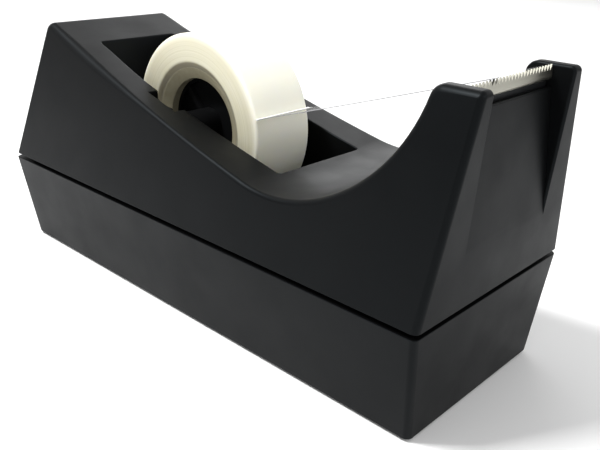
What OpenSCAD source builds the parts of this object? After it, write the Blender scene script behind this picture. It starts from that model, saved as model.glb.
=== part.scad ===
// Desktop tape dispenser: a two-part weighted housing, a steel cutter between two cheeks and a
// lift-out roll of tape on a hub.
// +X points to the cutter, +Z is up. The origin is on the table, under the middle of the housing.

/* [Housing] */
// Overall length, from the back of the waist to the top of the front
overall_l = 156.7; // [145:0.1:170]
// Width at the waist, where the two shells meet
waist_w = 58.5; // [56:0.5:66]
// Height of the joint line between the shells
waist_z = 27.3; // [25:0.1:29]
// Width of the joint gap that shows between the shells
seam_gap = 1.4; // [0.8:0.1:1.8]
// How much narrower the foot is than the waist, on each long side
foot_inset_y = 3.9; // [2:0.1:4.5]
// How much shorter the foot is than the waist, at each end
foot_inset_x = 1.8; // [1:0.1:3]
// Radius of the housing's vertical corners
corner_r = 1.5; // [1:0.1:3]
// Wall thickness of both shells
wall = 2.4; // [2:0.1:2.6]

/* [Top surface] */
// Height of the back edge of the top surface, before it is rounded
rear_top_z = 69.6; // [66:0.1:71]
// Forward lean of the back face, in mm per mm of height
rear_lean = 0.301; // [0.28:0.001:0.4]
// Forward lean of the front face, in mm per mm of height
front_lean = 0.06; // [0.04:0.005:0.08]
// Inward lean of the side faces, in mm per mm of height
side_lean = 0.204; // [0.18:0.002:0.21]
// Height of the cheeks beside the cutter
cheek_z = 73.4; // [72:0.1:74]
// Radius of the valley in front of the well
valley_r = 37.7; // [36:0.1:39]

/* [Tape well] */
// Length of the well
well_l = 75.1; // [70:0.1:76]
// Width of the well
well_w = 29.1; // [28:0.1:30]
// Height of the well's floor
well_floor_z = 18; // [17.5:0.1:19]

/* [Tape and hub] */
// Width of the tape
tape_w = 19; // [12:0.5:19]
// Outside diameter of the roll
roll_d = 49.2; // [40:0.2:50]
// Inside diameter of the tape's core
core_id = 25.4; // [25.2:0.1:26]
// Outside diameter of the tape's core
core_od = 31.4; // [30:0.1:33]
// Height of the roll's axis
axle_z = 46.5; // [45:0.1:47]
// Diameter of the spindle
axle_d = 6; // [5.5:0.1:6.5]
// Radial running clearance between the spindle and the hub
running_fit = 0.06; // [0.03:0.01:0.1]

/* [Cutter] */
// Width of the opening between the cheeks
cheek_gap = 32.1; // [31:0.1:33]
// Number of teeth on the cutter
teeth = 26; // [18:1:30]
// Height of the teeth
tooth_h = 1.2; // [0.6:0.1:1.4]

/* [Hidden] */

$fn = 64;
slack = 0.1;                                  // clearance between parts that only have to clear
big = 200;                                    // longer than anything that it cuts

// Housing
rear_x = -overall_l / 2;                      // back of the waist
front_edge_r = 1.2;
front_angle = atan(front_lean);
front_corner_x = overall_l / 2 + front_edge_r * (tan(45 + front_angle / 2) - 1);
waist_front_x = front_corner_x - front_lean * (cheek_z - waist_z);
foot_z = 0.5;                                 // underside of the base shell, above the table
foot_r = 6;
foot_recess = 1.2;
base_top_z = waist_z - seam_gap / 2;
upper_bottom_z = waist_z + seam_gap / 2;
lip_bottom_z = 16;
lip_top_z = 31;
lip_t = 1.3;
lip_inset = wall + 1;                         // locating lip of the base shell, in from the waist
lip_rear_inset = wall + rear_lean * (lip_top_z - waist_z) + 2 * slack;
post_x = [-58, 54];
post_y = 18.5;
post_r = 4;
post_split_z = 24;
post_l = 20;
post_bore_l = 14;
web_end_y = 25.2;
web_bottom_z = 33;
foot_x = [-68.3, 65.3];
foot_y = 17.5;

// Top surface, drawn as straight runs and arcs: [radius, turn in degrees, steps]
rear_edge_r = 2.5;
deck_heading = -18.93;
rear_heading = atan2(1, rear_lean);
deck_r = 818;
deck_turn = 6.28;
climb_heading = 49.3;
climb_r = 33.3;
cheek_edge_r = 2.8;

// Well and slots
well_front_x = 24.8;
well_rear_x = well_front_x - well_l;
well_wall = 2;
axle_x = -12.7;
slot_w = 4.6;
slot_end_y = 17.6;
slot_mouth = 14;                              // top of the slot's cut, above the axle
slot_guide = [axle_x - 13.3, axle_x + 5.5];   // run of the thick wall around each slot, along X
guide_end_y = slot_end_y + 1.5;
guide_drop = 8;
lead_in = [[-10.7, 7.6], [-6.4, 5.8], [slot_w / 2, 5.2],
           [slot_w / 2, slot_mouth], [-10.7, slot_mouth]];

// Cutter
recess_bottom_z = 40.5;
recess_top_x = 73.7;
recess_top_z = 68.6;
seat_x = 72.5;
seat_z = 65;
holder_top_z = 69.9;
holder_front_x = seat_x - slack;
blade_t = 0.5;
blade_x = 73.5;                               // front face of the cutter
tip_z = 73.3;
rivet_x = 71.3;
rivet_y = 12.2;
rivet_d = 1.7;
rivet_bottom_z = 67;
holder_screw_y = 9;
holder_screw_x = 69.8;
panel_base_x = front_x(recess_bottom_z);

// Ballast
ballast = [94, 43, 11.5];
ballast_x = -1;
ballast_z = foot_z + wall + 0.1;
ballast_top_z = ballast_z + ballast[2];
ballast_screw_x = [-33, 31];
ballast_chamfer = 4;
ballast_seat_z = 12;                          // where the ballast's screw heads sit
pillar_r = 3.5;
pillar_top_z = 8;

// Screws: [thread diameter, length under the head, head diameter, head height]
housing_screw = [2.9, 24, 5.6, 2.2];
holder_screw = [2.5, 10, 4.2, 1.4];
ballast_screw = [3.9, 7, 7.4, 2.4];
head_room = 0.8;                              // diameter left around a screw's head
housing_seat_z = 12;                          // where the housing's screw heads sit
holder_seat_z = 68;

// Tape and hub
roll_r = roll_d / 2;
hub_r = core_id / 2 - 0.1;
hub_rim_t = 0.9;
hub_end_y = 5.2;
web_y = [2.2, 3.7];
bar_angle = 131;                              // of the rib across each web
bar_t = 1.4;
boss_r = 4.4;
boss_end_y = 13.4;
core_end_y = tape_w / 2 - 0.8;
strand_t = 0.12;
peel_angle = 15.4;                            // where the tape leaves the roll, from +X
peel_gap = 0.3;

function half_w(z) = waist_w / 2 - side_lean * (z - waist_z);
function back_x(z) = rear_x + rear_lean * (z - waist_z);
function front_x(z) = waist_front_x + front_lean * (z - waist_z);

// Points [x, z, heading] of an arc that starts at p; a negative radius turns right.
function arc_points(p, r, turn, steps) =
    [for (i = [1:steps]) let (a = p[2] + turn * i / steps)
        [p[0] + r * (sin(a) - sin(p[2])), p[1] - r * (cos(a) - cos(p[2])), a]];

function last(list) = list[len(list) - 1];
function ahead(p, d) = [p[0] + d * cos(p[2]), p[1] + d * sin(p[2]), p[2]];

// The top surface from the back edge to the end of the climb, then the cheek's top and front edge
rear_corner = [back_x(rear_top_z), rear_top_z, rear_heading];
rear_turn = deck_heading - rear_heading;
edge_start = ahead(rear_corner, -rear_edge_r * tan(-rear_turn / 2));
edge_arc = arc_points(edge_start, -rear_edge_r, rear_turn, 8);
deck_arc = arc_points(last(edge_arc), deck_r, deck_turn, 8);
valley_arc = arc_points(last(deck_arc), valley_r, climb_heading - last(deck_arc)[2], 16);
climb_start = last(valley_arc);
// The climb ends where the rounding over the cheek reaches the cheek's height.
climb_end_heading = acos((climb_start[1] + climb_r * cos(climb_heading) + cheek_edge_r - cheek_z)
                         / (climb_r + cheek_edge_r));
climb_arc = arc_points(climb_start, climb_r, climb_end_heading - climb_heading, 6);
cheek_arc = arc_points(last(climb_arc), -cheek_edge_r, -climb_end_heading, 6);
front_edge_start = [overall_l / 2 - front_edge_r, cheek_z, 0];
front_arc = arc_points(front_edge_start, -front_edge_r, -90 - front_angle, 6);
deck_path = concat([edge_start], edge_arc, deck_arc, valley_arc, climb_arc);
top_path = concat(deck_path, cheek_arc, [front_edge_start], front_arc);

module rounded_corners(x0, x1, y, r, z) {
    for (x = [x0 + r, x1 - r], s = [-1, 1])
        translate([x, s * (y - r), z]) cylinder(r = r, h = 0.01, $fn = 32);
}

// Extrudes a side-view outline of [x, z] points across the width.
module across(w) {
    rotate([90, 0, 0]) translate([0, 0, -w / 2]) linear_extrude(w) children();
}

module at_axle() {
    translate([axle_x, 0, axle_z]) rotate([90, 0, 0]) children();
}

// A tube around the axle between two distances from the middle, on one side
module ring(r0, r1, y0, y1, side = 1) {
    at_axle() translate([0, 0, side > 0 ? -y1 : y0]) difference() {
        cylinder(r = r1, h = y1 - y0);
        translate([0, 0, -1]) cylinder(r = r0, h = y1 - y0 + 2);
    }
}

module upper_block(inset) {
    top = 80;
    z0 = upper_bottom_z - (inset > 0 ? 1 : 0);
    hull() {
        rounded_corners(back_x(z0) + inset, front_x(z0) - inset, half_w(z0) - inset, corner_r, z0);
        rounded_corners(back_x(top) + inset, front_x(top) - inset, half_w(top) - inset, corner_r, top);
    }
}

module base_block(inset, z0) {
    hull() {
        rounded_corners(rear_x + foot_inset_x + inset, waist_front_x - foot_inset_x - inset,
                        waist_w / 2 - foot_inset_y - inset, corner_r, z0);
        rounded_corners(rear_x + inset, waist_front_x - inset, waist_w / 2 - inset, corner_r,
                        base_top_z - 0.01 + (inset > 0 ? 1 : 0));
    }
}

module upper_outline() {
    polygon(concat([[rear_x - 5, 0]], [[rear_x - 5, edge_start[1]]],
                   [for (p = top_path) [p[0], p[1]]], [[overall_l / 2 + 5, 40], [overall_l / 2 + 5, 0]]));
}

// Hollow under the top surface, behind the recessed front panel
module cavity_outline() {
    cavity_top_z = 59.2;
    intersection() {
        polygon(concat([[rear_x - 5, 0], [rear_x - 5, edge_start[1] - wall]],
                       [for (p = deck_path) [p[0] + wall * sin(p[2]), p[1] - wall * cos(p[2])]],
                       [[recess_top_x - wall, recess_top_z], [panel_base_x - wall, recess_bottom_z],
                        [panel_base_x - wall, 0]]));
        translate([-big / 2, 0]) square([big, cavity_top_z]);
    }
}

module box_between(a, b) {
    translate(a) cube(b - a);
}

// A box on one side of the middle, from its ranges along X, outwards and along Z
module side_box(x, y, z, side) {
    box_between([x[0], min(side * y[0], side * y[1]), z[0]], [x[1], max(side * y[0], side * y[1]), z[1]]);
}

module well_box(margin, z0, z1) {
    box_between([well_rear_x - margin, -well_w / 2 - margin, z0],
                [well_front_x + margin, well_w / 2 + margin, z1]);
}

// The spindle's slot in one well wall, with a lead-in that guides the spindle forward
module axle_slot(side) {
    depth = slot_end_y - well_w / 2 + 1;
    translate([axle_x, side * (well_w / 2 - 1 + depth / 2), axle_z]) across(depth) union() {
        intersection() {
            circle(r = axle_d / 2 + slack);
            square([slot_w, axle_d + 1], center = true);
        }
        translate([-slot_w / 2, 0]) square([slot_w, slot_mouth]);
        polygon(lead_in);
    }
}

// The gap between the cheeks: recessed front panel, shadow gap and the holder's seat
module front_recess() {
    across(cheek_gap) polygon([[panel_base_x + 0.01, recess_bottom_z], [recess_top_x, recess_top_z],
                               [seat_x, recess_top_z], [seat_x, seat_z], [seat_x - 20, seat_z],
                               [seat_x - 20, 90], [90, 90], [90, recess_bottom_z]]);
}

module holder_screw_hole(side) {
    translate([holder_screw_x, side * holder_screw_y, holder_seat_z + 0.5 - 12])
        cylinder(d = holder_screw[0] + slack, h = 12);
}

module upper_shell() color("dimgray") {
    difference() {
        union() {
            difference() {
                intersection() {
                    upper_block(0);
                    across(big) upper_outline();
                }
                intersection() {
                    upper_block(wall);
                    across(big) cavity_outline();
                }
            }
            // Well walls and slot guides, trimmed to the top surface
            intersection() {
                across(big) upper_outline();
                union() {
                    well_box(well_wall, well_floor_z - well_wall, cheek_z);
                    for (s = [-1, 1])
                        side_box(slot_guide, [well_w / 2 - 1, guide_end_y],
                                 [axle_z - guide_drop, cheek_z], s);
                }
            }
            for (x = post_x, s = [-1, 1]) {
                translate([x, s * post_y, post_split_z]) cylinder(r = post_r, h = post_l);
                // Web that joins the post to the side wall
                side_box([x - wall / 2, x + wall / 2], [post_y, web_end_y],
                         [web_bottom_z, post_split_z + post_l], s);
            }
        }
        well_box(0, well_floor_z, 90);
        for (s = [-1, 1]) axle_slot(s);
        front_recess();
        for (x = post_x, s = [-1, 1])
            translate([x, s * post_y, post_split_z - 1])
                cylinder(d = housing_screw[0] + slack, h = post_bore_l + 1);
        for (s = [-1, 1]) holder_screw_hole(s);
    }
}

module base_shell() color("dimgray") {
    difference() {
        union() {
            difference() {
                base_block(0, foot_z);
                base_block(wall, foot_z + wall);
            }
            difference() {
                lip(0);
                lip(lip_t);
            }
            for (x = post_x, s = [-1, 1])
                translate([x, s * post_y, foot_z + 1]) cylinder(r = post_r, h = post_split_z - foot_z - 1);
            for (x = ballast_screw_x)
                translate([x, 0, foot_z + 1]) cylinder(r = pillar_r, h = pillar_top_z - foot_z - 1);
        }
        for (x = post_x, s = [-1, 1]) translate([x, s * post_y, 0]) {
            cylinder(d = housing_screw[2] + head_room, h = housing_seat_z);
            cylinder(d = housing_screw[0] + slack, h = post_split_z + 1);
        }
        for (x = foot_x, s = [-1, 1])
            translate([x, s * foot_y, 0]) cylinder(r = foot_r + slack, h = foot_z + foot_recess);
        for (x = ballast_screw_x)
            translate([x, 0, foot_z + wall + 1.3]) cylinder(d = ballast_screw[0] + slack, h = pillar_top_z);
    }
}

// Straight-sided locating lip, as a block inset by t
module lip(t) {
    x0 = rear_x + lip_rear_inset + t;
    x1 = waist_front_x - lip_inset - t;
    y = waist_w / 2 - lip_inset - t;
    over = t > 0 ? 1 : 0;
    translate([0, 0, lip_bottom_z - over]) linear_extrude(lip_top_z - lip_bottom_z + 2 * over) {
        translate([x0 + corner_r, -y]) square([x1 - x0 - 2 * corner_r, 2 * y]);
        translate([x0, -y + corner_r]) square([x1 - x0, 2 * (y - corner_r)]);
        for (x = [x0 + corner_r, x1 - corner_r], s = [-1, 1])
            translate([x, s * (y - corner_r)]) circle(r = corner_r);
    }
}

module ballast_block() color("gray") {
    difference() {
        translate([ballast_x, 0, ballast_z]) linear_extrude(ballast[2]) {
            square([ballast[0] - 2 * ballast_chamfer, ballast[1]], center = true);
            square([ballast[0], ballast[1] - 2 * ballast_chamfer], center = true);
        }
        for (x = ballast_screw_x) translate([x, 0, 0]) {
            cylinder(r = pillar_r + 0.3, h = pillar_top_z + 0.2);
            cylinder(d = ballast_screw[0] + 0.5, h = ballast_top_z + 1);
            translate([0, 0, ballast_seat_z]) cylinder(d = ballast_screw[2] + 1, h = ballast[2]);
        }
    }
}

// A pan-head screw, from [thread diameter, length, head diameter, head height], with the underside
// of its head at the origin, its thread upwards and a cross recess in its head
module screw(size) {
    head_d = size[2];
    head_h = size[3];
    difference() {
        union() {
            cylinder(d = size[0], h = size[1]);
            translate([0, 0, -head_h]) cylinder(d = head_d, h = head_h);
        }
        for (a = [0, 90]) rotate([0, 0, a])
            translate([-head_d * 0.3, -head_d * 0.07, -head_h * 1.45])
                cube([head_d * 0.6, head_d * 0.14, head_h]);
    }
}

module ballast_screws() color("silver") {
    for (x = ballast_screw_x) translate([x, 0, ballast_seat_z]) rotate([180, 0, 0]) screw(ballast_screw);
}

module ballast_pad() color("darkgray") {
    box_between([-26, -13, ballast_top_z], [24, 13, well_floor_z - well_wall]);
}

module housing_screws() color("silver") {
    for (x = post_x, s = [-1, 1])
        translate([x, s * post_y, housing_seat_z]) screw(housing_screw);
}

module rubber_feet() color("black") {
    for (x = foot_x, s = [-1, 1])
        translate([x, s * foot_y, 0]) cylinder(r = foot_r, h = foot_z + foot_recess);
}

module cutter_holder() color("dimgray") {
    w = cheek_gap - 2 * slack;
    difference() {
        intersection() {
            across(w) upper_outline();
            box_between([60, -w / 2, seat_z], [holder_front_x, w / 2, holder_top_z]);
        }
        for (s = [-1, 1]) {
            translate([rivet_x, s * rivet_y, rivet_bottom_z]) cylinder(d = rivet_d + slack, h = 5);
            holder_screw_hole(s);
        }
    }
}

module holder_screws() color("silver") {
    for (s = [-1, 1])
        translate([holder_screw_x, s * holder_screw_y, holder_seat_z - holder_screw[1]]) screw(holder_screw);
}

// An angled steel strip: a flat flange on the holder and an upright edge with teeth
module cutter_blade() color("lightgray") {
    w = cheek_gap - 4 * slack;
    pitch = w / teeth;
    flange_l = 3.6;
    difference() {
        union() {
            box_between([blade_x - flange_l, -w / 2, holder_top_z], [blade_x, w / 2, holder_top_z + blade_t]);
            translate([blade_x - blade_t, 0, 0]) rotate([90, 0, 90]) linear_extrude(blade_t)
                polygon(concat([[-w / 2, holder_top_z]],
                               [for (i = [0:teeth - 1], p = [[0, tip_z - tooth_h], [0.5, tip_z]])
                                   [-w / 2 + (i + p[0]) * pitch, p[1]]],
                               [[w / 2, tip_z - tooth_h], [w / 2, holder_top_z]]));
        }
        for (s = [-1, 1])
            translate([rivet_x, s * rivet_y, holder_top_z - 1]) cylinder(d = rivet_d + slack, h = 3);
    }
}

module cutter_rivets() color("silver") {
    shank_l = holder_top_z + blade_t - rivet_bottom_z;
    for (s = [-1, 1]) translate([rivet_x, s * rivet_y, rivet_bottom_z]) {
        cylinder(d = rivet_d, h = shank_l);
        translate([0, 0, shank_l]) cylinder(d = rivet_d + 1.1, h = 0.5);
    }
}

// Half of the hub: a rim that fits the tape's core, a web with a cross bar and a bored boss
module hub_half(side) {
    bar_h = 1.6;
    difference() {
        union() {
            ring(hub_r - hub_rim_t, hub_r, 0, hub_end_y, side);
            ring(boss_r - 1, hub_r - 0.5, web_y[0], web_y[1], side);
            ring(axle_d / 2, boss_r, 0, boss_end_y, side);
            at_axle() rotate([0, 0, bar_angle])
                translate([-hub_r + 0.5, -bar_t / 2, side > 0 ? -web_y[1] - bar_h + 0.2 : web_y[1] - 0.2])
                    cube([2 * hub_r - 1, bar_t, bar_h]);
        }
        at_axle() translate([0, 0, -big / 2]) cylinder(r = axle_d / 2 + running_fit, h = big);
    }
}

module hub_left() color("black") { hub_half(1); }

module hub_right() color("black") { hub_half(-1); }

// The spindle doesn't turn: flats on its ends sit in the slots.
module hub_axle() color("black") {
    end_y = slot_end_y - 0.4;
    flat_y = well_w / 2 - 0.3;
    difference() {
        at_axle() translate([0, 0, -end_y]) cylinder(d = axle_d, h = 2 * end_y);
        for (s = [-1, 1], q = [-1, 1])
            translate([axle_x + q * (slot_w / 2 - slack + 2), s * (flat_y + 5), axle_z])
                cube([4, 10, 10], center = true);
    }
}

module drag_washers() color("gray") {
    for (s = [-1, 1]) ring(axle_d / 2 + running_fit, 5, boss_end_y + 0.1, well_w / 2 - 0.5, s);
}

module tape_core() color("khaki") {
    ring(core_id / 2, core_od / 2, -core_end_y, core_end_y);
}

// Wound tape, with its inner edges dished where the turns meet the core
module tape_roll() color("ivory") {
    dish = 1.6;
    at_axle() rotate_extrude($fn = 128)
        polygon([[core_od / 2, -tape_w / 2 + dish / 2], [core_od / 2 + dish, -tape_w / 2],
                 [roll_r, -tape_w / 2], [roll_r, tape_w / 2],
                 [core_od / 2 + dish, tape_w / 2], [core_od / 2, tape_w / 2 - dish / 2]]);
}

// The free run of tape, from the roll to just past the teeth
module tape_strand() color("white") {
    start = [axle_x + (roll_r + peel_gap) * cos(peel_angle), axle_z + (roll_r + peel_gap) * sin(peel_angle)];
    end_x = blade_x + 0.8;
    rise = tip_z + 0.12 - start[1];
    run = blade_x - start[0];
    end_z = start[1] + rise * (end_x - start[0]) / run;
    across(tape_w) polygon([start, [end_x, end_z], [end_x, end_z + strand_t],
                            [start[0], start[1] + strand_t]]);
}

upper_shell();
base_shell();
ballast_block();
ballast_screws();
ballast_pad();
housing_screws();
rubber_feet();
cutter_holder();
cutter_blade();
cutter_rivets();
holder_screws();
hub_left();
hub_right();
hub_axle();
drag_washers();
tape_core();
tape_roll();
tape_strand();
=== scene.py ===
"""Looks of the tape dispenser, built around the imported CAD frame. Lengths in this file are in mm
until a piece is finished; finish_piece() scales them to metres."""

import math
import random

import bmesh
import bpy
from mathutils import Matrix, Vector


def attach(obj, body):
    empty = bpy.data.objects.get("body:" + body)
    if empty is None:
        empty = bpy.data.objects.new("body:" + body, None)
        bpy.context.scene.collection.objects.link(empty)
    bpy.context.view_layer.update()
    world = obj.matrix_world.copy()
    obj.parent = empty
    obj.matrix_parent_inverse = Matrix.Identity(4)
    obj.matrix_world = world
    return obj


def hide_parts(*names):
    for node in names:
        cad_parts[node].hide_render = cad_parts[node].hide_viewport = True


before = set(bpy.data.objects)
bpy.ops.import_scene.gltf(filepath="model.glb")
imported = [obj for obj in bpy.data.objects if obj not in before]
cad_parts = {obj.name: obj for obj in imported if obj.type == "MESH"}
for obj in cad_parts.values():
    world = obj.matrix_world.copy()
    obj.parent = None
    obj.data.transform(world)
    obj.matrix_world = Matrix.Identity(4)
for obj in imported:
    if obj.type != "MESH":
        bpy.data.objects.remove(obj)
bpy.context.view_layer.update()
scene = bpy.context.scene
MM = 0.001

# ---------------------------------------------------------------- camera

CAMERA_AT = Vector((140.04, -131.32, 100.84)) * MM
CAMERA_AZ, CAMERA_EL, CAMERA_ROLL = (math.radians(a) for a in (42.829, 23.066, 1.649))
CAMERA_LENS = 44.245


def add_camera():
    back = Vector((math.sin(CAMERA_AZ) * math.cos(CAMERA_EL),
                   -math.cos(CAMERA_AZ) * math.cos(CAMERA_EL), math.sin(CAMERA_EL)))
    right = Vector((math.cos(CAMERA_AZ), math.sin(CAMERA_AZ), 0))
    up = back.cross(right)
    r = right * math.cos(CAMERA_ROLL) + up * math.sin(CAMERA_ROLL)
    u = up * math.cos(CAMERA_ROLL) - right * math.sin(CAMERA_ROLL)
    data = bpy.data.cameras.new("camera")
    data.sensor_width = 36
    data.lens = CAMERA_LENS
    data.clip_start = 0.01
    camera = bpy.data.objects.new("camera", data)
    scene.collection.objects.link(camera)
    m = Matrix((r, u, back)).transposed().to_4x4()
    m.translation = CAMERA_AT
    camera.matrix_world = m
    scene.camera = camera


add_camera()

# ---------------------------------------------------------------- sizes shared with the CAD, mm

OVERALL_L, WAIST_W, WAIST_Z, SEAM = 156.7, 58.5, 27.3, 1.4
FOOT_IN_X, FOOT_IN_Y, FOOT_Z, CORNER_R, WALL = 1.8, 3.9, 0.5, 1.5, 2.4
REAR_TOP_Z, REAR_LEAN, FRONT_LEAN, SIDE_LEAN, CHEEK_Z = 69.6, 0.301, 0.06, 0.204, 73.4
REAR_EDGE_R, DECK_R, DECK_TURN, DECK_HEADING = 2.5, 818, 6.28, -18.93
VALLEY_R, CLIMB_HEADING, CLIMB_R, CHEEK_EDGE_R, FRONT_EDGE_R = 37.7, 49.3, 33.3, 2.8, 1.2
REAR_X = -OVERALL_L / 2
FRONT_ANGLE = math.degrees(math.atan(FRONT_LEAN))
FRONT_X = (OVERALL_L / 2 + FRONT_EDGE_R * (math.tan(math.radians(45 + FRONT_ANGLE / 2)) - 1)
           - FRONT_LEAN * (CHEEK_Z - WAIST_Z))
BASE_TOP, UPPER_BOTTOM = WAIST_Z - 0.35, WAIST_Z + SEAM / 2
WELL_X, WELL_Y, WELL_FLOOR, WELL_WALL = (-50.3, 24.8), 14.55, 18, 2
AXLE = Vector((-12.7, 0, 46.5))
SLOT_W, SLOT_END, AXLE_R = 4.6, 17.6, 3
CHEEK_GAP = 32.1
PANEL_Z, PANEL_TOP = 40.5, (73.7, 68.6)
SEAT_X, SEAT_Z = 72.5, 65
HOLDER_TOP, BLADE_X, BLADE_T, TIP_Z, TOOTH_H, TEETH = 69.9, 73.5, 0.5, 73.3, 1.2, 26
RIVET_X, RIVET_Y, RIVET_Z = 71.3, 12.2, 67
ROLL_R, TAPE_W, CORE_R, CORE_BORE, DISH = 24.6, 19, 15.7, 12.7, 1.6
PEEL_ANGLE, PEEL_GAP = math.radians(15.4), 0.3
POST_X, POST_Y, POST_R, POST_TOP = (-58, 54), 18.5, 4, 24
HEAD_BORE_R, HEAD_SEAT = 3.2, 12
FEET_X, FEET_Y, FEET_R, FEET_RECESS = (-68.3, 65.3), 17.5, 6.1, 1.2
LIP_TOP, LIP_T, LIP_REAR = 31, 1.3, 0.4
# How far the well narrows at its back end, as a share of its width, and the run that it takes
WELL_TAPER, TAPER_START, TAPER_RUN = 0.11, AXLE.x - 12, 26
# The lead-in behind each slot, from the axle: its back edge, then its kink
LEAD_BACK, LEAD_KINK, SLOT_BACK_Z = (8.6, 7.0), (6.4, 5.8), 5.42


def half_w(z):
    return WAIST_W / 2 - SIDE_LEAN * (z - WAIST_Z)


def back_x(z):
    return REAR_X + REAR_LEAN * (z - WAIST_Z)


def front_x(z):
    return FRONT_X + FRONT_LEAN * (z - WAIST_Z)


def smooth(t):
    t = min(1, max(0, t))
    return t * t * (3 - 2 * t)


# ---------------------------------------------------------------- mesh helpers


def make(name, verts, faces):
    """An object from points in mm and faces, with no material."""
    mesh = bpy.data.meshes.new(name)
    mesh.from_pydata([Vector(v) for v in verts], [], faces)
    mesh.validate()
    o = bpy.data.objects.new(name, mesh)
    scene.collection.objects.link(o)
    return o


def evaluated(o):
    """Applies o's modifiers to its mesh."""
    depsgraph = bpy.context.evaluated_depsgraph_get()
    mesh = bpy.data.meshes.new_from_object(o.evaluated_get(depsgraph))
    o.modifiers.clear()
    old, o.data = o.data, mesh
    bpy.data.meshes.remove(old)
    return o


def boolean(o, other, operation="DIFFERENCE"):
    m = o.modifiers.new("boolean", "BOOLEAN")
    m.object, m.operation, m.solver = other, operation, "EXACT"
    evaluated(o)
    bpy.data.objects.remove(other)
    return o


def tidy_mesh(o, dissolve=0.3):
    """Merges doubles, dissolves edges across flat faces and turns normals outwards."""
    bm = bmesh.new()
    bm.from_mesh(o.data)
    bmesh.ops.remove_doubles(bm, verts=bm.verts, dist=0.002)
    if dissolve:
        bmesh.ops.dissolve_limit(bm, angle_limit=math.radians(dissolve), verts=bm.verts, edges=bm.edges)
    bmesh.ops.recalc_face_normals(bm, faces=bm.faces)
    bm.to_mesh(o.data)
    bm.free()
    return o


def bevel(o, width_at, segments=3, angle=32):
    """Rounds outward edges sharper than angle; width_at(middle of the edge) gives each one's width in mm."""
    bm = bmesh.new()
    bm.from_mesh(o.data)
    layer = bm.edges.layers.float.get("bevel_weight_edge") or bm.edges.layers.float.new("bevel_weight_edge")
    for e in bm.edges:
        if len(e.link_faces) == 2 and e.is_convex and e.calc_face_angle(0) > math.radians(angle):
            e[layer] = width_at((e.verts[0].co + e.verts[1].co) / 2)
    bm.to_mesh(o.data)
    bm.free()
    m = o.modifiers.new("bevel", "BEVEL")
    m.limit_method, m.width, m.segments = "WEIGHT", 1, segments
    m.use_clamp_overlap = False
    m.miter_outer = "MITER_ARC"
    return evaluated(o)


def shade(o, angle=30):
    """Smooth shading with sharp edges above angle, and face-weighted normals."""
    bm = bmesh.new()
    bm.from_mesh(o.data)
    for f in bm.faces:
        f.smooth = True
    for e in bm.edges:
        e.smooth = len(e.link_faces) != 2 or e.calc_face_angle(0) < math.radians(angle)
    bm.to_mesh(o.data)
    bm.free()
    m = o.modifiers.new("normals", "WEIGHTED_NORMAL")
    m.keep_sharp, m.weight = True, 60
    return o


def finish_piece(o, material, body, *nodes):
    """Scales a piece to metres, gives it its material, puts it on its body and hides the CAD parts it
    replaces.
    """
    o.data.transform(Matrix.Scale(MM, 4))
    o.data.materials.clear()
    o.data.materials.append(material)
    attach(o, body)
    if nodes:
        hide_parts(*nodes)
    return o


def prism(name, outline, y0, y1):
    """A side-view outline of (x, z) points, extruded from y0 to y1."""
    n = len(outline)
    verts = [(x, y, z) for y in (y0, y1) for x, z in outline]
    faces = [tuple(range(n)), tuple(range(2 * n - 1, n - 1, -1))]
    faces += [(i, n + i, n + (i + 1) % n, (i + 1) % n) for i in range(n)]
    return tidy_mesh(make(name, verts, faces), 0)


def box(name, a, b):
    return prism(name, [(a[0], a[2]), (b[0], a[2]), (b[0], b[2]), (a[0], b[2])], a[1], b[1])


def rounded_rect(x0, x1, y, r, steps=8):
    """Points (x, y) of a rectangle from x0 to x1 and -y to y with rounded corners, anticlockwise."""
    out = []
    for cx, cy, a0 in ((x1 - r, y - r, 0), (x0 + r, y - r, 90), (x0 + r, r - y, 180), (x1 - r, r - y, 270)):
        for i in range(steps + 1):
            a = math.radians(a0 + 90 * i / steps)
            out.append((cx + r * math.cos(a), cy + r * math.sin(a)))
    return out


def loft(name, loops, cap=True):
    """Joins closed loops that have the same number of points, and caps the first and the last."""
    n = len(loops[0])
    verts = [p for loop in loops for p in loop]
    faces = [(k * n + i, k * n + (i + 1) % n, (k + 1) * n + (i + 1) % n, (k + 1) * n + i)
             for k in range(len(loops) - 1) for i in range(n)]
    if cap:
        faces += [tuple(reversed(range(n))), tuple(range((len(loops) - 1) * n, len(loops) * n))]
    return tidy_mesh(make(name, verts, faces), 0)


def lathe(name, profile, centre, axis="Y", steps=96):
    """Turns a closed outline of (radius, distance along the axis) points about an axis through centre."""
    n = len(profile)
    verts, faces = [], []
    for k in range(steps):
        a = 2 * math.pi * k / steps
        for r, t in profile:
            c, s = r * math.cos(a), r * math.sin(a)
            verts.append(Vector(centre) + (Vector((c, t, s)) if axis == "Y" else Vector((c, s, t))))
    for k in range(steps):
        k1 = (k + 1) % steps
        for i in range(n):
            j = (i + 1) % n
            faces.append((k * n + i, k * n + j, k1 * n + j, k1 * n + i))
    return tidy_mesh(make(name, verts, faces), 0)


def cylinder(name, x, y, r, z0, z1, steps=48):
    loops = [[(x + r * math.cos(2 * math.pi * i / steps), y + r * math.sin(2 * math.pi * i / steps), z)
              for i in range(steps)] for z in (z0, z1)]
    return loft(name, loops)


# ---------------------------------------------------------------- side profile of the housing


def arc(p, r, turn, steps):
    """Points (x, z, heading) of an arc that starts at p; a negative radius turns right."""
    out = []
    for i in range(1, steps + 1):
        a = math.radians(p[2] + turn * i / steps)
        a0 = math.radians(p[2])
        out.append((p[0] + r * (math.sin(a) - math.sin(a0)), p[1] - r * (math.cos(a) - math.cos(a0)),
                    p[2] + turn * i / steps))
    return out


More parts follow.
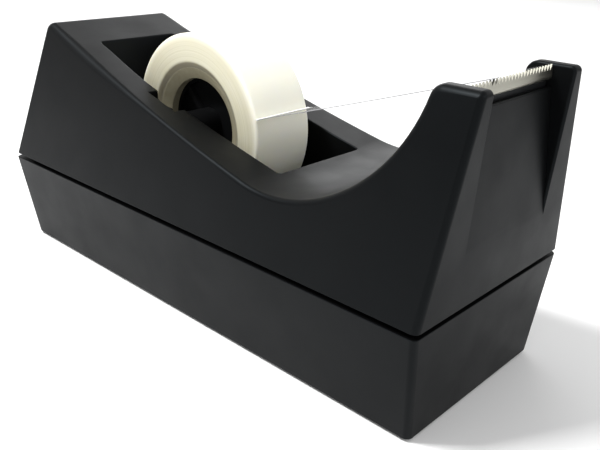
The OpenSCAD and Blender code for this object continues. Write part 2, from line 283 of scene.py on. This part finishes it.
def profile():
    """The side profile from the bottom of the back face, over the top, to the bottom of the front
    face, as (x, z, outward normal, edge radius)."""
    rear_heading = math.degrees(math.atan2(1, REAR_LEAN))
    turn = DECK_HEADING - rear_heading
    d = -REAR_EDGE_R * math.tan(math.radians(-turn / 2))
    start = (back_x(REAR_TOP_Z) + d * math.cos(math.radians(rear_heading)),
             REAR_TOP_Z + d * math.sin(math.radians(rear_heading)), rear_heading)
    edge = arc(start, -REAR_EDGE_R, turn, 8)
    deck = arc(edge[-1], DECK_R, DECK_TURN, 30)
    valley = arc(deck[-1], VALLEY_R, CLIMB_HEADING - deck[-1][2], 24)
    c = valley[-1]
    drop = c[1] + CLIMB_R * math.cos(math.radians(CLIMB_HEADING)) + CHEEK_EDGE_R - CHEEK_Z
    end = math.degrees(math.acos(drop / (CLIMB_R + CHEEK_EDGE_R)))
    climb = arc(c, CLIMB_R, end - CLIMB_HEADING, 8)
    cheek = arc(climb[-1], -CHEEK_EDGE_R, -end, 8)
    top = [(x, CHEEK_Z, 0) for x in (72.5, 74.5, OVERALL_L / 2 - FRONT_EDGE_R)]
    front = arc(top[-1], -FRONT_EDGE_R, -90 - FRONT_ANGLE, 8)
    rows = []

    def add(points, radius):
        for i, (x, z, a) in enumerate(points):
            n = Vector((-math.sin(math.radians(a)), 0, math.cos(math.radians(a))))
            rows.append((x, z, n, radius(i / max(1, len(points) - 1))))

    steps = 8
    for i in range(steps):
        z = UPPER_BOTTOM + (start[1] - UPPER_BOTTOM) * i / steps
        a = math.radians(rear_heading)
        n = Vector((-1, 0, 0)).lerp(Vector((-math.sin(a), 0, math.cos(a))), i / steps).normalized()
        rows.append((back_x(z), z, n, CORNER_R))
    add([start], lambda t: 1.6)
    add(edge, lambda t: 1.6 + 0.2 * t)
    add(deck, lambda t: 1.8 + 0.4 * smooth(t / 0.1) - 1.2 * smooth((t - 0.1) / 0.6))
    add(valley, lambda t: 1.0 + 0.3 * smooth(t))
    add(climb, lambda t: 1.3 + 0.2 * smooth(t))
    add(cheek, lambda t: 1.5)
    add(top, lambda t: 1.5)
    add(front, lambda t: 1.5)
    z1 = front[-1][1]
    for i in range(1, steps + 1):
        z = z1 + (UPPER_BOTTOM - z1) * i / steps
        n = rows[-1][2].lerp(Vector((1, 0, 0)), i / steps).normalized() if i < steps else Vector((1, 0, 0))
        rows.append((front_x(z), z, n, CORNER_R))
    return rows


def upper_block():
    """The solid outline of the upper shell, with rounded edges between its top and its sides."""
    steps = 6
    rows = profile()
    verts = []
    for x, z, n, r in rows:
        side = []
        for k in range(steps + 1):
            t = math.pi / 2 * (1 - k / steps)
            p = Vector((x, 0, z)) - n * r * (1 - math.cos(t))
            side.append((p.x, half_w(p.z) - r * (1 - math.sin(t)), p.z))
        verts += [(px, -py, pz) for px, py, pz in side] + [(px, py, pz) for px, py, pz in reversed(side)]
    c = 2 * (steps + 1)
    m = len(rows)
    faces = [(i * c + j, i * c + j + 1, (i + 1) * c + j + 1, (i + 1) * c + j)
             for i in range(m - 1) for j in range(c - 1)]
    faces.append(tuple(i * c for i in range(m)))
    faces.append(tuple(i * c + c - 1 for i in reversed(range(m))))
    faces.append(tuple(range(c - 1, -1, -1)) + tuple((m - 1) * c + j for j in range(c)))
    return tidy_mesh(make("upper_shell_skin", verts, faces), 0)


def well_half_w(x):
    """Half-width of the well, which narrows towards its back end."""
    return WELL_Y * (1 - WELL_TAPER * smooth((TAPER_START - x) / TAPER_RUN))


def build_upper():
    o = upper_block()
    x0, x1 = WELL_X
    tub = box("tub", (x0 - WELL_WALL, -WELL_Y - WELL_WALL, WELL_FLOOR - WELL_WALL),
              (x1 + WELL_WALL, WELL_Y + WELL_WALL, UPPER_BOTTOM + 3))
    boolean(o, tub, "UNION")
    corners = [(x, y * well_half_w(x) / WELL_Y) for x, y in rounded_rect(x0, x1, WELL_Y, 0.8, 4)]
    side = [(x, well_half_w(x)) for x in range(-24, -50, -4)]
    well = corners[:5] + side + corners[5:15] + [(x, -y) for x, y in reversed(side)] + corners[15:]
    boolean(o, loft("well", [[(x, y, z) for x, y in well] for z in (WELL_FLOOR, 95)]))
    for s in (-1, 1):
        x, z = AXLE.x, AXLE.z
        h = SLOT_W / 2
        r = AXLE_R + 0.1
        a0 = math.asin(h / r)
        outline = [(x + r * math.sin(a0 * k / 4), z - r * math.cos(a0 * k / 4)) for k in range(-4, 5)]
        outline += [(x + h, z + 30), (x - LEAD_BACK[0], z + 30), (x - LEAD_BACK[0], z + LEAD_BACK[1]),
                    (x - LEAD_KINK[0], z + LEAD_KINK[1]), (x - h, z + SLOT_BACK_Z)]
        boolean(o, prism("slot", outline, *sorted((s * (WELL_Y - 1), s * SLOT_END))))
    recess = [(front_x(PANEL_Z) + 0.01, PANEL_Z), PANEL_TOP, (SEAT_X, PANEL_TOP[1]), (SEAT_X, SEAT_Z),
              (SEAT_X - 20, SEAT_Z), (SEAT_X - 20, 90), (90, 90), (90, PANEL_Z)]
    boolean(o, prism("recess", recess, -CHEEK_GAP / 2, CHEEK_GAP / 2))
    tidy_mesh(o)

    def width(p):
        if p.z < UPPER_BOTTOM + 0.5:
            return 0.25 if p.z > UPPER_BOTTOM - 0.5 else 0.0
        if p.x > 50 and abs(abs(p.y) - CHEEK_GAP / 2) < 0.2:
            return 0.7 if p.z > PANEL_Z + 1 else 0.3
        return 0.4

    bevel(o, width)
    return shade(o)


def build_base():
    """The tapered base shell, with the locating lip inside the joint gap."""

    def loop(z, inset_x, inset_y, r, rear=0.0):
        return [(x, y, z) for x, y in rounded_rect(REAR_X + inset_x + rear, FRONT_X - inset_x,
                                                     WAIST_W / 2 - inset_y, r)]

    def outer(z, inset=0.0):
        t = (BASE_TOP - z) / (BASE_TOP - FOOT_Z)
        return loop(z, FOOT_IN_X * t + inset, FOOT_IN_Y * t + inset, CORNER_R - inset * 0.6)

    e = 0.4
    loops = [outer(FOOT_Z + e * (1 - math.sin(a)), e * (1 - math.cos(a)))
             for a in (math.pi / 2, math.pi / 3, math.pi / 6, 0)]
    e = 0.25
    loops += [outer(BASE_TOP - e * (1 - math.sin(a)), e * (1 - math.cos(a)))
              for a in (0, math.pi / 6, math.pi / 3, math.pi / 2)]
    inset = WALL + 1
    loops += [loop(BASE_TOP, inset, inset, CORNER_R, LIP_REAR),
              loop(LIP_TOP, inset, inset, CORNER_R, LIP_REAR),
              loop(LIP_TOP, inset + LIP_T, inset + LIP_T, 1.2, LIP_REAR),
              loop(FOOT_Z + WALL, inset + 2.2, inset + 2.6, 1.2, LIP_REAR)]
    o = loft("base_shell_skin", loops)
    for x in POST_X:
        for y in (-POST_Y, POST_Y):
            boolean(o, cylinder("post", x, y, POST_R, FOOT_Z + 1, POST_TOP), "UNION")
            boolean(o, cylinder("bore", x, y, HEAD_BORE_R, -1, HEAD_SEAT))
    for x in FEET_X:
        for y in (-FEET_Y, FEET_Y):
            boolean(o, cylinder("foot", x, y, FEET_R, -1, FOOT_Z + FEET_RECESS))
    tidy_mesh(o)
    bevel(o, lambda p: 0.3 if p.z < FOOT_Z + 0.1 else 0.0)
    return shade(o)


# ---------------------------------------------------------------- materials


def set_stops(ramp, positions, values):
    """Puts numbers or colours on the stops of a colour ramp node."""
    for element, position, value in zip(ramp.color_ramp.elements, positions, values):
        element.position = position
        element.color = (value, value, value, 1) if isinstance(value, float) else (*value, 1)


def set_range(node, from_min, from_max, to_min=0.0, to_max=1.0):
    """Sets the limits of a map range node."""
    keys = ("From Min", "From Max", "To Min", "To Max")
    for key, value in zip(keys, (from_min, from_max, to_min, to_max)):
        node.inputs[key].default_value = value


class Nodes:
    """A material's node tree, with short calls to add nodes and links."""

    def __init__(self, name):
        self.material = bpy.data.materials.new(name)
        self.material.use_nodes = True
        self.tree = self.material.node_tree
        self.tree.nodes.clear()
        self.out = self.add("ShaderNodeOutputMaterial")
        self.shader = self.add("ShaderNodeBsdfPrincipled")
        self.link(self.shader, "BSDF", self.out, "Surface")
        self.coord = self.add("ShaderNodeTexCoord")

    def add(self, kind, **values):
        node = self.tree.nodes.new(kind)
        for key, value in values.items():
            if key in node.inputs:
                node.inputs[key].default_value = value
            else:
                setattr(node, key, value)
        return node

    def link(self, a, out, b, into):
        self.tree.links.new(a.outputs[out], b.inputs[into])
        return b

    def set(self, **values):
        for key, value in values.items():
            self.shader.inputs[key.replace("_", " ")].default_value = value

    def mapped(self, scale=(1, 1, 1), location=(0, 0, 0)):
        m = self.add("ShaderNodeMapping")
        m.inputs["Scale"].default_value = scale
        m.inputs["Location"].default_value = location
        self.link(self.coord, "Object", m, "Vector")
        return m

    def noise(self, scale, detail=2.0, source=None, rough=0.5):
        n = self.add("ShaderNodeTexNoise")
        n.inputs["Scale"].default_value = scale
        n.inputs["Detail"].default_value = detail
        n.inputs["Roughness"].default_value = rough
        if source is None:
            self.link(self.coord, "Object", n, "Vector")
        else:
            self.link(source, "Vector", n, "Vector")
        return n

    def ramp(self, node, out, low, high, into, positions=(0.3, 0.7)):
        """Turns a 0-1 value into a range of numbers or colours for a socket of the shader."""
        r = self.add("ShaderNodeValToRGB")
        self.link(node, out, r, "Fac")
        set_stops(r, positions, (low, high))
        self.link(r, "Color", self.shader, into)
        return r

    def bump(self, node, out, strength, distance, below=None):
        b = self.add("ShaderNodeBump")
        b.inputs["Strength"].default_value = strength
        b.inputs["Distance"].default_value = distance
        self.link(node, out, b, "Height")
        if below:
            self.link(below, "Normal", b, "Normal")
        self.link(b, "Normal", self.shader, "Normal")
        return b


def black_plastic(name, base=0.0024, rough=(0.36, 0.46), grain=1.0):
    """Satin moulded ABS: fine spark-eroded grain, faint handling marks in the gloss."""
    n = Nodes(name)
    tone = n.noise(35, 3)
    dark, light = ([base * k for k in ks] for ks in ((0.9, 0.95, 1.05), (1.15, 1.15, 1.2)))
    n.ramp(tone, "Fac", dark, light, "Base Color")
    gloss = n.noise(90, 4)
    n.ramp(gloss, "Fac", rough[0], rough[1], "Roughness")
    coarse = n.noise(700, 3)
    b = n.bump(coarse, "Fac", 0.10 * grain, 0.00008)
    fine = n.noise(3200, 2)
    n.bump(fine, "Fac", 0.18 * grain, 0.00005, b)
    n.set(IOR=1.5, Specular_IOR_Level=0.105, Specular_Tint=(0.82, 0.94, 1.0, 1))
    return n.material


def steel(name, rough=0.25, base=(0.62, 0.61, 0.59), scale=(1, 1, 1)):
    """Drawn steel strip with fine lines along its length."""
    n = Nodes(name)
    m = n.mapped(scale)
    lines = n.noise(900, 3, m)
    n.ramp(lines, "Fac", rough * 0.75, rough * 1.35, "Roughness")
    n.bump(lines, "Fac", 0.05, 0.00004)
    n.set(Base_Color=(*base, 1), Metallic=1.0)
    return n.material


def rubber(name):
    n = Nodes(name)
    g = n.noise(1500, 3)
    n.ramp(g, "Fac", (0.012, 0.012, 0.012), (0.022, 0.022, 0.021), "Base Color")
    n.bump(g, "Fac", 0.2, 0.00008)
    n.set(Roughness=0.85)
    return n.material


def cast_iron(name):
    n = Nodes(name)
    g = n.noise(300, 6)
    n.ramp(g, "Fac", (0.05, 0.05, 0.055), (0.11, 0.11, 0.11), "Base Color")
    n.ramp(g, "Fac", 0.5, 0.8, "Roughness")
    n.bump(g, "Fac", 0.5, 0.0003)
    n.set(Metallic=0.8)
    return n.material


def foam(name):
    n = Nodes(name)
    g = n.noise(1200, 5)
    n.ramp(g, "Fac", (0.05, 0.05, 0.05), (0.12, 0.12, 0.12), "Base Color")
    n.bump(g, "Fac", 0.8, 0.0004)
    n.set(Roughness=0.95)
    return n.material


def radial(n):
    """A node whose value is the distance from the roll's axis, in metres."""
    m = n.mapped(location=(-AXLE.x * MM, 0, -AXLE.z * MM))
    flat = n.add("ShaderNodeVectorMath", operation="MULTIPLY")
    flat.inputs[1].default_value = (1, 0, 1)
    n.tree.links.new(m.outputs["Vector"], flat.inputs[0])
    length = n.add("ShaderNodeVectorMath", operation="LENGTH")
    n.tree.links.new(flat.outputs["Vector"], length.inputs[0])
    return length


def wound_tape(name):
    """Matt tape wound on itself: creamy and slightly translucent, with fine rings on its side faces, an
    outer face painted whiter than the sides as painted light, and grey-beige inner turns."""
    n = Nodes(name)
    r = radial(n)
    rings = n.add("ShaderNodeTexNoise", noise_dimensions="1D")
    rings.inputs["Scale"].default_value = 2600
    rings.inputs["Detail"].default_value = 4
    n.tree.links.new(r.outputs["Value"], rings.inputs["W"])
    side = n.add("ShaderNodeValToRGB")
    n.tree.links.new(rings.outputs["Fac"], side.inputs["Fac"])
    set_stops(side, (0.3, 0.7), ((0.64, 0.61, 0.45), (0.72, 0.69, 0.54)))
    # Painted light: the outer face is coloured whiter than the side faces, standing in for the light it
    # catches; the rings on the side faces are the tape's own.
    outer = n.add("ShaderNodeMapRange")
    n.tree.links.new(r.outputs["Value"], outer.inputs["Value"])
    set_range(outer, (ROLL_R - 2.2) * MM, ROLL_R * MM)
    rings_and_painted_light_outer = n.add("ShaderNodeMix", data_type="RGBA")
    n.tree.links.new(outer.outputs["Result"], rings_and_painted_light_outer.inputs["Factor"])
    n.tree.links.new(side.outputs["Color"], rings_and_painted_light_outer.inputs[6])
    rings_and_painted_light_outer.inputs[7].default_value = (0.94, 0.92, 0.80, 1)
    inner = n.add("ShaderNodeMapRange")
    n.tree.links.new(r.outputs["Value"], inner.inputs["Value"])
    set_range(inner, (CORE_R + DISH + 0.1) * MM, (CORE_R + DISH - 0.3) * MM)
    core = n.add("ShaderNodeMix", data_type="RGBA")
    n.tree.links.new(inner.outputs["Result"], core.inputs["Factor"])
    n.tree.links.new(rings_and_painted_light_outer.outputs[2], core.inputs[6])
    core.inputs[7].default_value = (0.36, 0.33, 0.24, 1)
    n.tree.links.new(core.outputs[2], n.shader.inputs["Base Color"])
    n.bump(rings, "Fac", 0.25, 0.00006)
    n.set(Roughness=0.42, Subsurface_Weight=0.35, Subsurface_Radius=(0.004, 0.0035, 0.0022),
          Subsurface_Scale=1.0, Coat_Weight=0.25, Coat_Roughness=0.25)
    return n.material


def core_board(name):
    """The core ring: olive-grey moulded plastic, satin."""
    n = Nodes(name)
    g = n.noise(500, 4)
    n.ramp(g, "Fac", (0.33, 0.30, 0.20), (0.38, 0.35, 0.245), "Base Color")
    n.bump(g, "Fac", 0.1, 0.0001)
    n.set(Roughness=0.42)
    return n.material


def tape_film(name):
    """Matt adhesive tape: a thin clear film, with a painted dark shade line along its near cut edge only and
    a painted near-white highlight band where it leaves the roll.
    """
    n = Nodes(name)
    g = n.noise(1400, 3)
    n.ramp(g, "Fac", 0.38, 0.5, "Roughness")
    n.bump(g, "Fac", 0.06, 0.00003)
    place = n.add("ShaderNodeSeparateXYZ")
    n.link(n.coord, "Object", place, "Vector")
    # Painted shade: a dark grey, nearly opaque line along the near cut edge only (y below -6.8 mm), where
    # the edge-on film looks dark; the far edge has none.
    edge = n.add("ShaderNodeMapRange")
    n.link(place, "Y", edge, "Value")
    set_range(edge, -0.0068, -0.0078, 0.05, 0.9)
    # Painted highlight: an opaque near-white band where the strand leaves the roll, standing in for the
    # light the curved film catches there.
    foot = n.add("ShaderNodeMapRange")
    n.link(place, "X", foot, "Value")
    foot_x = (AXLE.x + (ROLL_R + PEEL_GAP) * math.cos(PEEL_ANGLE)) * MM
    set_range(foot, foot_x + 0.0018, foot_x + 0.0004, 0.05, 1.0)
    alpha = n.add("ShaderNodeMath", operation="MAXIMUM")
    n.tree.links.new(edge.outputs["Result"], alpha.inputs[0])
    n.tree.links.new(foot.outputs["Result"], alpha.inputs[1])
    n.tree.links.new(alpha.outputs["Value"], n.shader.inputs["Alpha"])
    # Colour from the painted marks: dark grey where the near-edge painted shade is, near white where the
    # painted peel highlight is.
    painted_shade_minus_highlight = n.add("ShaderNodeMath", operation="SUBTRACT")
    n.tree.links.new(edge.outputs["Result"], painted_shade_minus_highlight.inputs[0])
    n.tree.links.new(foot.outputs["Result"], painted_shade_minus_highlight.inputs[1])
    n.ramp(painted_shade_minus_highlight, "Value", (0.97, 0.97, 0.95), (0.25, 0.25, 0.26), "Base Color", (0.05, 0.4))
    n.set(IOR=1.3)
    return n.material


MATERIALS = {
    "shell": black_plastic("housing_plastic"),
    "holder": black_plastic("holder_plastic", 0.008, (0.45, 0.55)),
    "hub": black_plastic("hub_plastic", 0.005, (0.26, 0.36), 0.4),
    "axle": black_plastic("spindle_plastic", 0.004, (0.3, 0.4), 0.5),
    "blade": steel("cutter_steel", 0.34, (0.36, 0.352, 0.30), (1, 0.05, 1)),
    "screw": steel("zinc_plated_steel", 0.35, (0.5, 0.5, 0.5)),
    "rivet": steel("rivet_steel", 0.3, (0.6, 0.6, 0.58)),
    "rubber": rubber("foot_rubber"),
    "iron": cast_iron("cast_iron"),
    "foam": foam("pad_foam"),
    "roll": wound_tape("wound_tape"),
    "core": core_board("core_board"),
    "film": tape_film("tape_film"),
}

# ---------------------------------------------------------------- pieces

finish_piece(build_upper(), MATERIALS["shell"], "housing", "upper_shell")
finish_piece(build_base(), MATERIALS["shell"], "housing", "base_shell")


def build_blade():
    """An angled steel strip with a rounded bend and a row of teeth along its upright edge."""
    half = (CHEEK_GAP - 0.4) / 2
    bend = 0.9
    x_in, z_in = BLADE_X - BLADE_T, HOLDER_TOP + BLADE_T
    outer = [(BLADE_X - 3.6, HOLDER_TOP)]
    inner = [(BLADE_X - 3.6, z_in)]
    for k in range(7):
        a = math.radians(90 * k / 6)
        outer.append((BLADE_X - bend + bend * math.sin(a), HOLDER_TOP + bend - bend * math.cos(a)))
        r = bend - BLADE_T
        inner.append((x_in - r + r * math.sin(a), z_in + r - r * math.cos(a)))
    verts, faces = [], []
    stations = TEETH * 4
    root = TIP_Z - TOOTH_H
    for i in range(stations + 1):
        y = -half + 2 * half * i / stations
        phase = (i % 4) / 4
        tip = root + TOOTH_H * (1 - abs(2 * phase - 1))
        column = outer + [(BLADE_X, root), (BLADE_X, tip), (x_in + 0.12, tip), (x_in, root)] + inner[::-1]
        verts += [(x, y, z) for x, z in column]
    n = len(column)
    for i in range(stations):
        for j in range(n):
            faces.append((i * n + j, i * n + (j + 1) % n, (i + 1) * n + (j + 1) % n, (i + 1) * n + j))
    faces += [tuple(reversed(range(n))), tuple(range(stations * n, (stations + 1) * n))]
    return shade(tidy_mesh(make("cutter_blade_strip", verts, faces), 0), 35)


finish_piece(build_blade(), MATERIALS["blade"], "housing", "cutter_blade")


def build_rivets():
    objects = []
    for s in (-1, 1):
        top = HOLDER_TOP + BLADE_T
        angles = [math.radians(10 * k) for k in range(10)]
        dome = [(1.4 * math.cos(a), top + 0.5 * math.sin(a)) for a in angles]
        prof = [(0.85, RIVET_Z), (0.85, top), (1.4, top)] + dome[1:-1] + [(0.02, top + 0.5)]
        o = lathe("cutter_rivet", [(0.02, RIVET_Z)] + prof, (RIVET_X, s * RIVET_Y, 0), "Z", 32)
        objects.append(o)
    a, b = objects
    boolean(a, b, "UNION")
    a.name = "cutter_rivet_heads"
    return shade(a, 40)


finish_piece(build_rivets(), MATERIALS["rivet"], "housing", "cutter_rivets")


def build_roll():
    """Wound tape: a slightly uneven edge on each side face and rounded outer corners."""
    random.seed(11)
    half = TAPE_W / 2
    r0, r1 = CORE_R, ROLL_R
    side = [(r0, half - DISH / 2 - 0.02), (r0 + 0.55, half - 0.62), (r0 + 1.0, half - 0.28),
            (r0 + DISH, half - 0.06)]
    r = r0 + DISH + 0.5
    while r < r1 - 1.0:
        side.append((r, half - random.uniform(0.01, 0.07)))
        r += random.uniform(0.35, 0.7)
    side += [(r1 - 0.9 + 0.9 * math.sin(a), half - 0.9 + 0.9 * math.cos(a))
             for a in (math.radians(15 * k) for k in range(1, 7))]
    prof = side + [(rr, -t) for rr, t in reversed(side)]
    return shade(lathe("tape_roll_wound", prof, AXLE, steps=160), 40)


finish_piece(build_roll(), MATERIALS["roll"], "roll", "tape_roll")


def build_core():
    """The ring that the tape is wound on, with a conical face that runs in to a thin bore rim."""
    end = TAPE_W / 2 - 0.8
    side = [(CORE_BORE, end - 1.5), (CORE_BORE + 0.25, end - 1.3), (CORE_BORE + 0.5, end - 1.2),
            (CORE_R - 0.35, end - 0.08), (CORE_R - 0.02, end - 0.02)]
    prof = side + [(r, -t) for r, t in reversed(side)]
    return shade(lathe("tape_core_ring", prof, AXLE, steps=128), 40)


finish_piece(build_core(), MATERIALS["core"], "roll", "tape_core")


def build_strand():
    """The free run of tape, thicker over its first few rows where it peels off the roll, with a cut end."""
    half = TAPE_W / 2 - 0.05
    r = ROLL_R + PEEL_GAP
    start = (AXLE.x + r * math.cos(PEEL_ANGLE), AXLE.z + r * math.sin(PEEL_ANGLE))
    end_x = BLADE_X + 0.8
    rise = (TIP_Z + 0.12 - start[1]) / (BLADE_X - start[0])
    t = 0.12
    stations = 120
    across = TEETH
    verts, faces = [], []
    for i in range(stations + 1):
        f = i / stations
        for j in range(across + 1):
            y = -half + 2 * half * j / across
            x = start[0] + (end_x - start[0]) * f
            if i == stations:
                x -= 0.5 * (j % 2)
            z = start[1] + rise * (x - start[0]) - 0.25 * math.sin(math.pi * f) * 0.4
            foot = 0.4 * max(0.0, 1 - 2 * i / 3)
            verts.append((x, y, z - foot / 2))
            verts.append((x, y, z + t + foot / 2))
    w = 2 * (across + 1)
    for i in range(stations):
        for j in range(across):
            a, b = i * w + 2 * j, (i + 1) * w + 2 * j
            faces += [(a, b, b + 2, a + 2), (a + 1, a + 3, b + 3, b + 1)]
        a, b = i * w, (i + 1) * w
        faces.append((a, a + 1, b + 1, b))
        a, b = i * w + w - 2, (i + 1) * w + w - 2
        faces.append((a, b, b + 1, a + 1))
    for j in range(across):
        a = 2 * j
        faces.append((a, a + 2, a + 3, a + 1))
        b = stations * w + 2 * j
        faces.append((b, b + 1, b + 3, b + 2))
    return shade(tidy_mesh(make("tape_strand_film", verts, faces), 0), 40)


finish_piece(build_strand(), MATERIALS["film"], "spindle", "tape_strand")

CARRIED = {
    "ballast_block": ("iron", 0.5), "ballast_screws": ("screw", 0.15), "ballast_pad": ("foam", 0.4),
    "housing_screws": ("screw", 0.15), "rubber_feet": ("rubber", 0.3), "cutter_holder": ("holder", 0.3),
    "holder_screws": ("screw", 0.15), "hub_left": ("hub", 0.15), "hub_right": ("hub", 0.15),
    "hub_axle": ("axle", 0.25), "drag_washers": ("rubber", 0.1),
}
for name, (finish, width) in CARRIED.items():
    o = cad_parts[name]
    o.data.materials.clear()
    o.data.materials.append(MATERIALS[finish])
    m = o.modifiers.new("bevel", "BEVEL")
    m.limit_method, m.angle_limit, m.width, m.segments = "ANGLE", math.radians(40), width * MM, 2
    m.use_clamp_overlap = True

# ---------------------------------------------------------------- studio


def area_light(name, at, to, size, power, colour=(1, 1, 1)):
    data = bpy.data.lights.new(name, "AREA")
    data.shape, data.size, data.size_y = "RECTANGLE", size[0], size[1]
    data.energy, data.color = power, colour
    o = bpy.data.objects.new(name, data)
    scene.collection.objects.link(o)
    o.location = at
    o.rotation_euler = (Vector(to) - Vector(at)).to_track_quat("-Z", "Y").to_euler()
    return o


def studio():
    f = 4000
    floor = make("floor", [(-f, -f, 0), (f, -f, 0), (f, f, 0), (-f, f, 0)], [(0, 1, 2, 3)])
    floor.data.transform(Matrix.Scale(MM, 4))
    n = Nodes("floor_white")
    g = n.noise(6, 2)
    n.ramp(g, "Fac", (0.93, 0.93, 0.93), (0.95, 0.95, 0.95), "Base Color")
    n.set(Roughness=0.7)
    floor.data.materials.append(n.material)
    world = bpy.data.worlds.new("world")
    scene.world = world
    world.use_nodes = True
    background = world.node_tree.nodes["Background"]
    tree = world.node_tree
    coord = tree.nodes.new("ShaderNodeTexCoord")
    split = tree.nodes.new("ShaderNodeSeparateXYZ")
    ramp = tree.nodes.new("ShaderNodeValToRGB")
    tree.links.new(coord.outputs["Generated"], split.inputs["Vector"])
    tree.links.new(split.outputs["Z"], ramp.inputs["Fac"])
    tree.links.new(ramp.outputs["Color"], background.inputs["Color"])
    ramp.color_ramp.elements.new(0.5)
    ramp.color_ramp.elements.new(0.75)
    set_stops(ramp, (0.02, 0.3, 0.5, 0.75), (0.15, 1.1, 0.75, 0.6))
    area_light("key", (-0.26, -0.37, 0.80), (0, 0, 0.05), (0.2, 0.12), 8)
    area_light("back", (-0.55, 0.6, 0.36), (0, 0, 0.05), (0.5, 0.4), 1.5)
    area_light("side", (0.7, 0.1, 0.45), (0, 0, 0.05), (0.4, 0.4), 1.2)
    scene.view_settings.view_transform = "Standard"
    scene.view_settings.look = "None"


studio()
